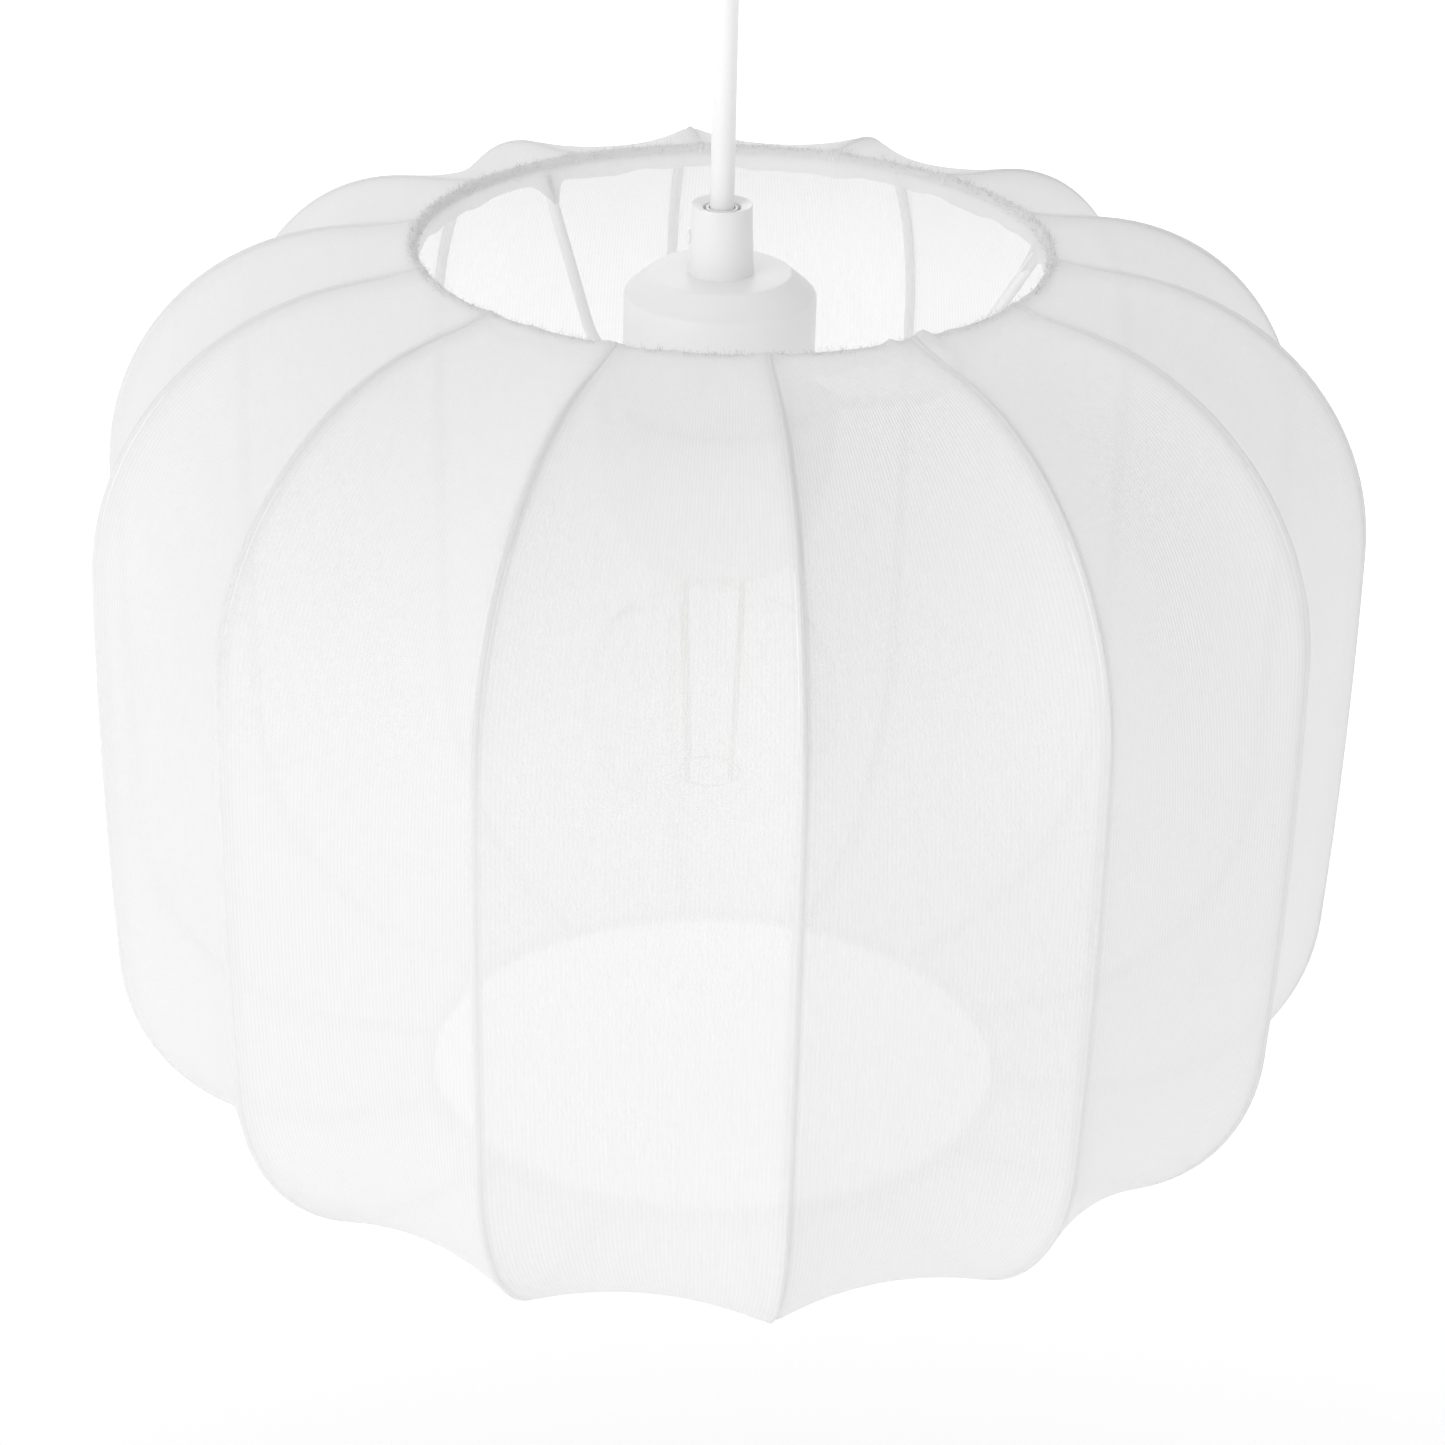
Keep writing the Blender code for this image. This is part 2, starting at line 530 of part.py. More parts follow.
def main():
    clear_scene()
    jersey = material("white_jersey", (0.86, 0.86, 0.85), 0.85)
    enamel = material("white_enamel", (0.84, 0.84, 0.83), 0.4)
    plastic = material("white_moulding", (0.82, 0.82, 0.81), 0.4)
    inner = material("cream_moulding", (0.75, 0.72, 0.66), 0.5)
    brass = material("nickelled_brass", (0.75, 0.70, 0.58), 0.3, 1.0)
    steel = material("zinc_steel", (0.70, 0.70, 0.72), 0.35, 1.0)
    flex = material("white_flex", (0.86, 0.86, 0.86), 0.35)
    core = material("core_wire", (0.20, 0.35, 0.60), 0.4)
    glass = material("clear_glass", (0.95, 0.96, 0.96), 0.05, alpha=0.35)
    black = material("black_glass", (0.02, 0.02, 0.02), 0.2)
    phosphor = material("filament_phosphor", (0.85, 0.70, 0.25), 0.5)
    frame(enamel)
    spider(enamel)
    cover(jersey)
    lampholder(plastic, inner, brass, core)
    ring_nut(plastic)
    bulb(glass, steel, black, phosphor)
    cord(flex)
    ceiling_fitting(plastic, steel, brass)


main()
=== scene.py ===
import math
import random

import bmesh
import bpy
import numpy as np
from mathutils import Matrix, Vector


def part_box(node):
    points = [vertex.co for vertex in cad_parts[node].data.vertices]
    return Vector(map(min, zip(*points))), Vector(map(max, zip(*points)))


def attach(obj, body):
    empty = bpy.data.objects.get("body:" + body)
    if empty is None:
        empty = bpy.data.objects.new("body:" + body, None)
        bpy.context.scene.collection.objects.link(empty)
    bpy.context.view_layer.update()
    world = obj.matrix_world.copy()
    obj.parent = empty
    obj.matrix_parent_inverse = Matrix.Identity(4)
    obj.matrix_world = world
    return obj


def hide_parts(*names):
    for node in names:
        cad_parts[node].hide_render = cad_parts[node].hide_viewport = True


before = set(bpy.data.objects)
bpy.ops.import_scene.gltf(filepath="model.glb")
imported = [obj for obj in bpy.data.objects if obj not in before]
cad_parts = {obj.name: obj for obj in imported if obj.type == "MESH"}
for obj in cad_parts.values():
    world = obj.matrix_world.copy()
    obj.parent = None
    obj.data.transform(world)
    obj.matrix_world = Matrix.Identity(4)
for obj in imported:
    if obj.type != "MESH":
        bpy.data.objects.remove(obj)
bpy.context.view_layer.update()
print("stage: packed frame loaded")

mm = 0.001
shadeTop = -135 * mm  # the shade's top edge under the ceiling
aside = 2.7 * mm        # the shade hangs this far off its holder's axis, towards +X
bottomRing = [(a + b) / 2 for a, b in zip(*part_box("bottom_ring"))]
topRing = [(a + b) / 2 for a, b in zip(*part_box("top_ring"))]


# ---- small tools

def linearColour(code):
    # sRGB hex to linear
    parts = [int(code[i:i + 2], 16) / 255 for i in (0, 2, 4)]
    return (*[c / 12.92 if c <= 0.04045 else ((c + 0.055) / 1.055) ** 2.4 for c in parts], 1.0)


def addNode(tree, kind, settings=None, **links):
    # inputs go by name or, where names repeat, by number as i0, i1, i2
    node = tree.nodes.new(kind)
    for key, value in (settings or {}).items():
        setattr(node, key, value)
    for key, value in links.items():
        plain = key.replace("_", " ")
        socket = node.inputs[int(key[1:])] if key[0] == "i" and key[1:].isdigit() else node.inputs[plain]
        if isinstance(value, bpy.types.NodeSocket):
            tree.links.new(value, socket)
        else:
            socket.default_value = value
    return node


def startMaterial(name):
    made = bpy.data.materials.new(name)
    made.use_nodes = True
    made.node_tree.nodes.clear()
    return made, made.node_tree


def endMaterial(tree, shader):
    addNode(tree, "ShaderNodeOutputMaterial", Surface=shader)


def dress(piece, material):
    piece.data.materials.clear()
    piece.data.materials.append(material)


def fromBmesh(bm, name, material, crease=40):
    bmesh.ops.recalc_face_normals(bm, faces=bm.faces)
    mesh = bpy.data.meshes.new(name)
    bm.to_mesh(mesh)
    bm.free()
    mesh.shade_smooth()
    mesh.set_sharp_from_angle(angle=math.radians(crease))
    piece = bpy.data.objects.new(name, mesh)
    bpy.context.scene.collection.objects.link(piece)
    dress(piece, material)
    return piece


def spunPiece(name, outline, material, steps=96, round=0.0, segments=3, centre=(0, 0), crease=40):
    # closed (radius, height) outline turned round a vertical axis, its sharp rims rounded
    bm = bmesh.new()
    corners = [bm.verts.new((r, 0, z)) for r, z in outline]
    rim = [bm.edges.new(pair) for pair in zip(corners, corners[1:] + corners[:1])]
    bmesh.ops.spin(bm, geom=corners + rim, axis=(0, 0, 1), cent=(0, 0, 0), angle=math.tau,
                   steps=steps, use_merge=True, use_duplicate=False)
    bmesh.ops.remove_doubles(bm, verts=bm.verts, dist=1e-6)
    onAxis = [e for e in bm.edges if all(math.hypot(v.co.x, v.co.y) < 1e-7 for v in e.verts)]
    bmesh.ops.delete(bm, geom=onAxis, context="EDGES")
    bmesh.ops.recalc_face_normals(bm, faces=bm.faces)
    if round:
        sharp = [e for e in bm.edges if len(e.link_faces) == 2 and e.calc_face_angle() > math.radians(25)
                 and abs(e.verts[0].co.z - e.verts[1].co.z) < 1e-7]
        bmesh.ops.bevel(bm, geom=sharp, offset=round, segments=segments, profile=0.5,
                        affect="EDGES", material=-1, clamp_overlap=True)
    bmesh.ops.translate(bm, verts=bm.verts, vec=(*centre, 0))
    return fromBmesh(bm, name, material, crease)


def wirePiece(name, points, diameter, material, closed=False, roundness=3):
    # round wire on a line of points, as a curve
    curve = bpy.data.curves.new(name, "CURVE")
    curve.dimensions = "3D"
    curve.bevel_depth = diameter / 2
    curve.bevel_resolution = roundness
    curve.use_fill_caps = not closed
    line = curve.splines.new("POLY")
    line.points.add(len(points) - 1)
    for point, place in zip(line.points, points):
        point.co = (*place, 1.0)
    line.use_cyclic_u = closed
    line.use_smooth = True
    piece = bpy.data.objects.new(name, curve)
    bpy.context.scene.collection.objects.link(piece)
    dress(piece, material)
    return piece


def roundAbout(radius, height, turn):
    # turned from -Y towards +X
    return (radius * math.sin(turn), -radius * math.cos(turn), height)


def shadeAbout(radius, height, turn):
    x, y, z = roundAbout(radius, height, turn)
    return (x + aside, y, z)


def takePlace(piece, body, slot, *nodes):
    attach(piece, body)
    if nodes:
        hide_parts(*nodes)


# ---- camera, at the fitted angle

view = {
    "place": (16.3 * mm + aside, -808.3 * mm, 275.1 * mm + shadeTop),
    "pitch": -26.90, "yaw": 1.12, "roll": -1.39,  # degrees
    "lens": 84.745, "sensor": 36.0,
}


def addCamera():
    pitch, yaw, roll = (math.radians(view[k]) for k in ("pitch", "yaw", "roll"))
    turnYaw = np.array([[math.cos(yaw), -math.sin(yaw), 0], [math.sin(yaw), math.cos(yaw), 0], [0, 0, 1]])
    turnPitch = np.array([
        [1, 0, 0], [0, math.cos(pitch), -math.sin(pitch)], [0, math.sin(pitch), math.cos(pitch)]])
    turnRoll = np.array([
        [math.cos(roll), 0, math.sin(roll)], [0, 1, 0], [-math.sin(roll), 0, math.cos(roll)]])
    right, forward, up = (turnYaw @ turnPitch @ turnRoll).T
    data = bpy.data.cameras.new("studioCamera")
    data.lens, data.sensor_width, data.sensor_fit = view["lens"], view["sensor"], "HORIZONTAL"
    data.clip_start, data.clip_end = 0.01, 60
    camera = bpy.data.objects.new("studioCamera", data)
    bpy.context.scene.collection.objects.link(camera)
    turn = Matrix(np.column_stack([right, up, -forward]).tolist()).to_4x4()
    camera.matrix_world = Matrix.Translation(view["place"]) @ turn
    bpy.context.scene.camera = camera


addCamera()
print("stage: camera")


# ---- floor and light

studio = {
    "floorDrop": 0.95, "floorSize": 14.0, "floorColour": "F4F4F4",
    "floorGlow": (0.06, 0.72), "glowReach": (0.2, 2.3),   # near the lamp and far out, distances in m
    "sky": "F4F4F4", "skyStrength": (0.67, 0.83),   # level and overhead
    # name, place, aim, width, power in watts
    "lamps": [
        ("keyLight", (-1.5, -1.7, 0.5), (0, 0, -0.25), 1.6, 16.0),
        ("backLight", (-0.4, 2.2, 0.5), (0, 0, -0.25), 2.0, 10.0),
    ],
}


def buildStudio():
    world = bpy.data.worlds.new("studioWorld")
    bpy.context.scene.world = world
    world.use_nodes = True
    sky = world.node_tree
    sky.nodes.clear()
    facing = addNode(sky, "ShaderNodeTexCoord").outputs["Generated"]
    upwards = addNode(sky, "ShaderNodeSeparateXYZ", Vector=facing).outputs[2]
    lowest, overhead = studio["skyStrength"]
    strength = addNode(sky, "ShaderNodeMapRange", Value=upwards, To_Min=lowest, To_Max=overhead).outputs[0]
    colour = linearColour(studio["sky"])
    back = addNode(sky, "ShaderNodeBackground", Color=colour, Strength=strength).outputs[0]
    addNode(sky, "ShaderNodeOutputWorld", Surface=back)
    bm = bmesh.new()
    bmesh.ops.create_grid(bm, x_segments=1, y_segments=1, size=studio["floorSize"] / 2)
    bmesh.ops.translate(bm, verts=bm.verts, vec=(0, 0, -studio["floorDrop"]))
    # matt white studio floor that glows by itself, painted light: faint near the lamp, which paints a soft
    # shade under it, and stronger further out, where it stays white
    paint, tree = startMaterial("studioFloorPaint")
    place = addNode(tree, "ShaderNodeTexCoord").outputs["Object"]
    flatten = {"operation": "MULTIPLY"}
    level = addNode(tree, "ShaderNodeVectorMath", flatten, i0=place, i1=(1, 1, 0)).outputs[0]
    away = addNode(tree, "ShaderNodeVectorMath", {"operation": "LENGTH"}, i0=level).outputs["Value"]
    (near, far), (least, most) = studio["glowReach"], studio["floorGlow"]
    # painted light: the floor's own glow, fainter near the lamp and stronger far out
    glow = addNode(tree, "ShaderNodeMapRange", Value=away, From_Min=near, From_Max=far,
                   To_Min=least, To_Max=most).outputs[0]
    shader = addNode(tree, "ShaderNodeBsdfPrincipled", Base_Color=linearColour(studio["floorColour"]),
                     Roughness=0.9, Emission_Color=linearColour("FFFFFF"), Emission_Strength=glow)
    endMaterial(tree, shader.outputs[0])
    floor = fromBmesh(bm, "studioFloor", paint)
    for name, place, aim, width, power in studio["lamps"]:
        data = bpy.data.lights.new(name, "AREA")
        data.shape, data.size, data.energy = "DISK", width, power
        lamp = bpy.data.objects.new(name, data)
        bpy.context.scene.collection.objects.link(lamp)
        lamp.matrix_world = Matrix.Translation(place) @ (
            (Vector(aim) - Vector(place)).to_track_quat("-Z", "Y").to_matrix().to_4x4())
    bpy.context.scene.view_settings.view_transform = "Standard"


buildStudio()
print("stage: floor and lights")


# ---- materials

def enamelWhite():
    # White powder enamel on wire: satin, with the faint orange peel of a sprayed coat.
    made, tree = startMaterial("whiteEnamelWire")
    place = addNode(tree, "ShaderNodeTexCoord").outputs["Object"]
    peel = addNode(tree, "ShaderNodeTexNoise", Vector=place, Scale=900.0, Detail=2.0).outputs[0]
    blotch = addNode(tree, "ShaderNodeTexNoise", Vector=place, Scale=60.0, Detail=3.0).outputs[0]
    colour = addNode(tree, "ShaderNodeMix", {"data_type": "RGBA"}, i0=blotch,
                     i6=linearColour("F4F4F4"), i7=linearColour("F9F9F9")).outputs[2]
    gloss = addNode(tree, "ShaderNodeMapRange", Value=blotch, To_Min=0.30, To_Max=0.42).outputs[0]
    bump = addNode(tree, "ShaderNodeBump", Strength=0.25, Distance=0.00005, Height=peel).outputs[0]
    shader = addNode(tree, "ShaderNodeBsdfPrincipled", Base_Color=colour,
                     Roughness=gloss, IOR=1.5, Normal=bump)
    endMaterial(tree, shader.outputs[0])
    return made


def mouldedWhite(name, tint, low, high, ring=0.0):
    # Moulded thermoplastic: satin with fine spark-eroded grain; ring adds faint turned bands in mm of pitch.
    made, tree = startMaterial(name)
    place = addNode(tree, "ShaderNodeTexCoord").outputs["Object"]
    grain = addNode(tree, "ShaderNodeTexNoise", Vector=place, Scale=1600.0, Detail=2.0).outputs[0]
    blotch = addNode(tree, "ShaderNodeTexNoise", Vector=place, Scale=45.0, Detail=3.0).outputs[0]
    colour = addNode(tree, "ShaderNodeMix", {"data_type": "RGBA"}, i0=blotch,
                     i6=linearColour(tint[0]), i7=linearColour(tint[1])).outputs[2]
    gloss = addNode(tree, "ShaderNodeMapRange", Value=grain, To_Min=low, To_Max=high).outputs[0]
    height = grain
    if ring:
        level = addNode(tree, "ShaderNodeSeparateXYZ", Vector=place).outputs[2]
        pitches = math.tau / (ring * mm)
        turns = addNode(tree, "ShaderNodeMath", {"operation": "MULTIPLY"}, i0=level, i1=pitches).outputs[0]
        band = addNode(tree, "ShaderNodeMath", {"operation": "SINE"}, i0=turns).outputs[0]
        height = addNode(tree, "ShaderNodeMath", {"operation": "MULTIPLY_ADD"},
                         i0=band, i1=1.6, i2=grain).outputs[0]
    bump = addNode(tree, "ShaderNodeBump", Strength=0.3, Distance=0.00006, Height=height).outputs[0]
    shader = addNode(tree, "ShaderNodeBsdfPrincipled", Base_Color=colour,
                     Roughness=gloss, IOR=1.46, Normal=bump)
    endMaterial(tree, shader.outputs[0])
    return made


def platedMetal(name, light, dark, low, high):
    # Plated metal: fine drawn lines and small stains vary its gloss.
    made, tree = startMaterial(name)
    place = addNode(tree, "ShaderNodeTexCoord").outputs["Object"]
    stain = addNode(tree, "ShaderNodeTexNoise", Vector=place, Scale=160.0, Detail=4.0).outputs[0]
    drawn = addNode(tree, "ShaderNodeMapping", Vector=place, Scale=(300.0, 300.0, 6000.0)).outputs[0]
    lines = addNode(tree, "ShaderNodeTexNoise", Vector=drawn, Scale=1.0, Detail=2.0).outputs[0]
    colour = addNode(tree, "ShaderNodeMix", {"data_type": "RGBA"}, i0=stain,
                     i6=linearColour(dark), i7=linearColour(light)).outputs[2]
    gloss = addNode(tree, "ShaderNodeMapRange", Value=stain, To_Min=low, To_Max=high).outputs[0]
    bump = addNode(tree, "ShaderNodeBump", Strength=0.2, Distance=0.00003, Height=lines).outputs[0]
    shader = addNode(tree, "ShaderNodeBsdfPrincipled", Base_Color=colour, Metallic=1.0,
                     Roughness=gloss, Normal=bump)
    endMaterial(tree, shader.outputs[0])
    return made


def clearGlass():
    # Blown soda-lime glass, thin and clean; lamps shine through it unbent.
    made, tree = startMaterial("clearBulbGlass")
    place = addNode(tree, "ShaderNodeTexCoord").outputs["Object"]
    waves = addNode(tree, "ShaderNodeTexNoise", Vector=place, Scale=55.0, Detail=1.0).outputs[0]
    bump = addNode(tree, "ShaderNodeBump", Strength=0.15, Distance=0.0004, Height=waves).outputs[0]
    glass = addNode(tree, "ShaderNodeBsdfPrincipled", Base_Color=linearColour("FBFCFC"), Roughness=0.01,
                    IOR=1.5, Transmission_Weight=1.0, Normal=bump).outputs[0]
    clear = addNode(tree, "ShaderNodeBsdfTransparent", Color=linearColour("F4F6F6")).outputs[0]
    shadow = addNode(tree, "ShaderNodeLightPath").outputs["Is Shadow Ray"]
    mixed = addNode(tree, "ShaderNodeMixShader", i0=shadow, i1=glass, i2=clear)
    endMaterial(tree, mixed.outputs[0])
    return made


def phosphorCoat():
    # Silicone with yellow phosphor round the filament's chips: rough, a little uneven.
    made, tree = startMaterial("yellowPhosphor")
    place = addNode(tree, "ShaderNodeTexCoord").outputs["Object"]
    grain = addNode(tree, "ShaderNodeTexNoise", Vector=place, Scale=500.0, Detail=3.0).outputs[0]
    colour = addNode(tree, "ShaderNodeMix", {"data_type": "RGBA"}, i0=grain,
                     i6=linearColour("E3D9B8"), i7=linearColour("F1EBD3")).outputs[2]
    bump = addNode(tree, "ShaderNodeBump", Strength=0.4, Distance=0.0001, Height=grain).outputs[0]
    shader = addNode(tree, "ShaderNodeBsdfPrincipled", Base_Color=colour, Roughness=0.6, Normal=bump)
    endMaterial(tree, shader.outputs[0])
    return made


def flexSheath():
    # Extruded white PVC: smooth along, slightly uneven, soft highlight.
    made, tree = startMaterial("whiteFlexSheath")
    place = addNode(tree, "ShaderNodeTexCoord").outputs["Object"]
    uneven = addNode(tree, "ShaderNodeTexNoise", Vector=place, Scale=220.0, Detail=2.0).outputs[0]
    dust = addNode(tree, "ShaderNodeTexNoise", Vector=place, Scale=2600.0, Detail=2.0).outputs[0]
    gloss = addNode(tree, "ShaderNodeMapRange", Value=uneven, To_Min=0.32, To_Max=0.48).outputs[0]
    colour = addNode(tree, "ShaderNodeMix", {"data_type": "RGBA"}, i0=dust,
                     i6=linearColour("F1F1F1"), i7=linearColour("F7F7F7")).outputs[2]
    bump = addNode(tree, "ShaderNodeBump", Strength=0.3, Distance=0.0001, Height=uneven).outputs[0]
    shader = addNode(tree, "ShaderNodeBsdfPrincipled", Base_Color=colour,
                     Roughness=gloss, IOR=1.5, Normal=bump)
    endMaterial(tree, shader.outputs[0])
    return made


def looseThread():
    # Polyester yarn ends: matt, and greyer than the cloth as painted shade, because they mostly shade each
    # other.
    made, tree = startMaterial("polyesterYarnEnds")
    place = addNode(tree, "ShaderNodeTexCoord").outputs["Object"]
    tone = addNode(tree, "ShaderNodeTexNoise", Vector=place, Scale=120.0, Detail=2.0).outputs[0]
    # the two greys are painted shade; the noise between them is random tone
    colour = addNode(tree, "ShaderNodeMix", {"data_type": "RGBA"}, i0=tone,
                     i6=linearColour("A6A6A6"), i7=linearColour("D2D2D2")).outputs[2]
    shader = addNode(tree, "ShaderNodeBsdfPrincipled", Base_Color=colour, Roughness=0.85)
    endMaterial(tree, shader.outputs[0])
    return made


jersey = {
    "thread": ("F5F5F5", "F9F9F9"),
    "wales": 966,        # stitches round the sleeve: one each 1.05 mm at its widest
    "course": 0.55,      # mm between rows of stitches along the ribs
    "through": 0.50,     # share of light that the cloth passes on, scattered
    "pores": (0.085, 0.165),  # share that passes straight, on a thread and between two
    "relief": 0.00009,   # depth of a stitch, m
}


def knitJersey():
    # Circular-knitted polyester jersey, stretched: matt, with fine ribs of V stitches,
    # half see-through between them.
    made, tree = startMaterial("whiteKnitJersey")

    def calc(operation, a, b=0.0):
        return addNode(tree, "ShaderNodeMath", {"operation": operation}, i0=a, i1=b).outputs[0]

    knit = addNode(tree, "ShaderNodeUVMap", {"uv_map": "knit"}).outputs[0]
    across, along, _ = addNode(tree, "ShaderNodeSeparateXYZ", Vector=knit).outputs
    place = addNode(tree, "ShaderNodeTexCoord").outputs["Object"]
    # 0 mid-stitch and 0.5 between two wales, then the rounded rib of one wale, then the V of its two legs
    side = calc("ABSOLUTE", calc("SUBTRACT", calc("FRACT", across), 0.5))
    wale = calc("SINE", calc("MULTIPLY", calc("FRACT", across), math.pi))
    slanted = calc("ADD", along, calc("MULTIPLY", side, 1.3))
    leg = calc("MULTIPLY_ADD", calc("SINE", calc("MULTIPLY", slanted, math.tau)), 0.5)
    leg.node.inputs[2].default_value = 0.5
    stitch = calc("ADD", calc("MULTIPLY", wale, 0.6), calc("MULTIPLY", leg, 0.4))
    yarn = addNode(tree, "ShaderNodeTexNoise", Vector=knit, Scale=0.35, Detail=3.0).outputs[0]
    cloud = addNode(tree, "ShaderNodeTexNoise", Vector=place, Scale=22.0, Detail=3.0).outputs[0]
    colour = addNode(tree, "ShaderNodeMix", {"data_type": "RGBA"}, i0=yarn,
                     i6=linearColour(jersey["thread"][0]), i7=linearColour(jersey["thread"][1])).outputs[2]
    relief = jersey["relief"]
    bump = addNode(tree, "ShaderNodeBump", Strength=0.55, Distance=relief, Height=stitch).outputs[0]
    threads = addNode(tree, "ShaderNodeBsdfPrincipled", Base_Color=colour, Roughness=0.9, IOR=1.5,
                      Normal=bump, Sheen_Weight=0.12, Sheen_Roughness=0.5,
                      Specular_IOR_Level=0.2).outputs[0]
    glow = addNode(tree, "ShaderNodeBsdfTranslucent", Color=colour, Normal=bump).outputs[0]
    passes = addNode(tree, "ShaderNodeMapRange", Value=cloud, From_Min=0.3, From_Max=0.7,
                     To_Min=jersey["through"] - 0.008, To_Max=jersey["through"] + 0.008).outputs[0]
    cloth = addNode(tree, "ShaderNodeMixShader", i0=passes, i1=threads, i2=glow).outputs[0]
    gap = addNode(tree, "ShaderNodeMapRange", Value=stitch, From_Min=0.05, From_Max=0.95,
                  To_Min=jersey["pores"][1], To_Max=jersey["pores"][0]).outputs[0]
    clear = addNode(tree, "ShaderNodeBsdfTransparent").outputs[0]
    mixed = addNode(tree, "ShaderNodeMixShader", i0=gap, i1=cloth, i2=clear)
    endMaterial(tree, mixed.outputs[0])
    return made


enamel = enamelWhite()
plastic = mouldedWhite("whiteMouldedPlastic", ("F1F1F1", "F6F6F6"), 0.34, 0.46)
nutPlastic = mouldedWhite("whiteNutPlastic", ("F1F1F1", "F6F6F6"), 0.36, 0.48, ring=6.0)
ceramic = mouldedWhite("creamThermoset", ("DCD6C8", "E6E1D5"), 0.42, 0.58)
blackGlass = mouldedWhite("blackInsulatorGlass", ("0B0B0C", "141416"), 0.08, 0.18)
coreBlue = mouldedWhite("blueCoreSheath", ("2F5C9A", "3B6CAD"), 0.35, 0.5)
brass = platedMetal("nickelledBrass", "D9CFAE", "B3A57E", 0.22, 0.4)
capMetal = platedMetal("tinnedAluminium", "D4D5D6", "A9ABAD", 0.24, 0.42)
zinc = platedMetal("zincPlatedSteel", "CDD0D2", "9DA1A4", 0.3, 0.5)
glass, phosphor, sheath = clearGlass(), phosphorCoat(), flexSheath()
knit, threadEnds = knitJersey(), looseThread()
print("stage: materials")

for names, look in (
    (("collar_lock_nut", "screw_shell", "centre_contact", "terminal_left", "terminal_right",
      "grip_lock_nut"), brass),
    (("core_wire_left", "core_wire_right"), coreBlue),
    (("bulb_cap", "bulb_tip"), capMetal),
    (("bulb_insulator",), blackGlass),
    (("ceiling_bracket", "cup_screw_left", "cup_screw_right"), zinc),
    (("terminal_block",), plastic),
    (("cord_tail",), sheath),
):
    for name in names:
        dress(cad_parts[name], look)


# ---- flex

flex = {"diameter": 6 * mm, "top": -47 * mm, "end": shadeTop - 14 * mm, "points": 21}


def hangFlex():
    levels = np.linspace(flex["top"], flex["end"], flex["points"])
    piece = wirePiece("flex", [(0, 0, z) for z in levels], flex["diameter"], sheath, roundness=6)
    takePlace(piece, "lamp", "cord_sheath", "cord")


# ---- wire frame

wires = {
    "diameter": 3.0 * mm, "ribs": 14, "firstRib": math.radians(7.57),
    "ring": 79.6 * mm,                    # wire centre of both rings
    # slopes in degrees, bends as radii
    "shoulderSlope": 6.0, "shoulderRun": 18.6 * mm, "shoulderBend": 73 * mm,
    "sideTop": 88.4, "sideBottom": 92.13, "sideBend": 1660 * mm,
    "baseBend": 62.7 * mm, "baseSlope": 177.4,
    "fold": 1.7 * mm,                     # the cover's outer bend over a ring
    "ribInset": 2.2 * mm,                 # a rib's centre under the cover's outer line
    "armTurns": (100.3, 220.3, 340.3), "armElbow": (55 * mm, shadeTop - 45.2 * mm),
    "armFoot": 31.0 * mm, "armBow": 7 * mm,
    "washer": (21.3 * mm, 31.5 * mm), "washerHalf": 0.75 * mm,   # bore and rim, half its thickness
}


def coverLine(inset, step=4 * mm):
    # stations (radius, height, heading) down the outside of a rib, from ring to ring, moved inwards by inset
    fold = wires["fold"]
    slopes = ("shoulderSlope", "sideTop", "sideBottom", "baseSlope")
    slope, side1, side2, base = (-math.radians(wires[k]) for k in slopes)
    spot, heading = [wires["ring"] - fold, topRing[2]], math.pi / 2
    stations = [(*spot, heading)]

    def bend(goal, radius, steps=0):
        nonlocal heading
        steps = steps or max(2, round(abs(goal - heading) * radius / step))
        turn = (goal - heading) / steps
        chord = 2 * radius * math.sin(abs(turn) / 2)
        for _ in range(steps):
            spot[0] += chord * math.cos(heading + turn / 2)
            spot[1] += chord * math.sin(heading + turn / 2)
            heading += turn
            stations.append((*spot, heading))

    def run(length):
        steps = max(1, round(length / step))
        for _ in range(steps):
            spot[0] += length / steps * math.cos(heading)
            spot[1] += length / steps * math.sin(heading)
            stations.append((*spot, heading))

    bend(slope, fold, 6)
    run(wires["shoulderRun"])
    bend(side1, wires["shoulderBend"])
    bend(side2, wires["sideBend"])
    bend(base, wires["baseBend"])
    run((spot[0] - wires["ring"] - fold * math.sin(-base)) / -math.cos(heading))
    bend(-1.5 * math.pi, fold, 6)
    line = np.array(stations)
    line[:, 0] += inset * np.sin(line[:, 2])
    line[:, 1] -= inset * np.cos(line[:, 2])
    return line


def bendFrame():
    ring, thick, steps = wires["ring"], wires["diameter"], 168
    turns = [k * math.tau / steps for k in range(steps)]
    rings = (("topRingWire", topRing[2], "top_ring"), ("bottomRingWire", bottomRing[2], "bottom_ring"))
    for name, height, node in rings:
        piece = wirePiece(name, [shadeAbout(ring, height, t) for t in turns], thick, enamel, closed=True)
        takePlace(piece, "shade", "painted_wire", node)
    line = coverLine(wires["ribInset"], 4 * mm)[6:-6, :2]
    for rib in range(wires["ribs"]):
        turn = wires["firstRib"] + rib * math.tau / wires["ribs"]
        path = [(ring + 0.3 * mm, topRing[2] + 0.3 * mm), *line, (ring + 0.3 * mm, bottomRing[2] - 0.2 * mm)]
        points = [shadeAbout(r, z, turn) for r, z in path if r >= ring]
        piece = wirePiece(f"ribWire{rib + 1:02d}", points, thick, enamel, roundness=2)
        takePlace(piece, "shade", "painted_wire", f"rib_{rib + 1:02d}")


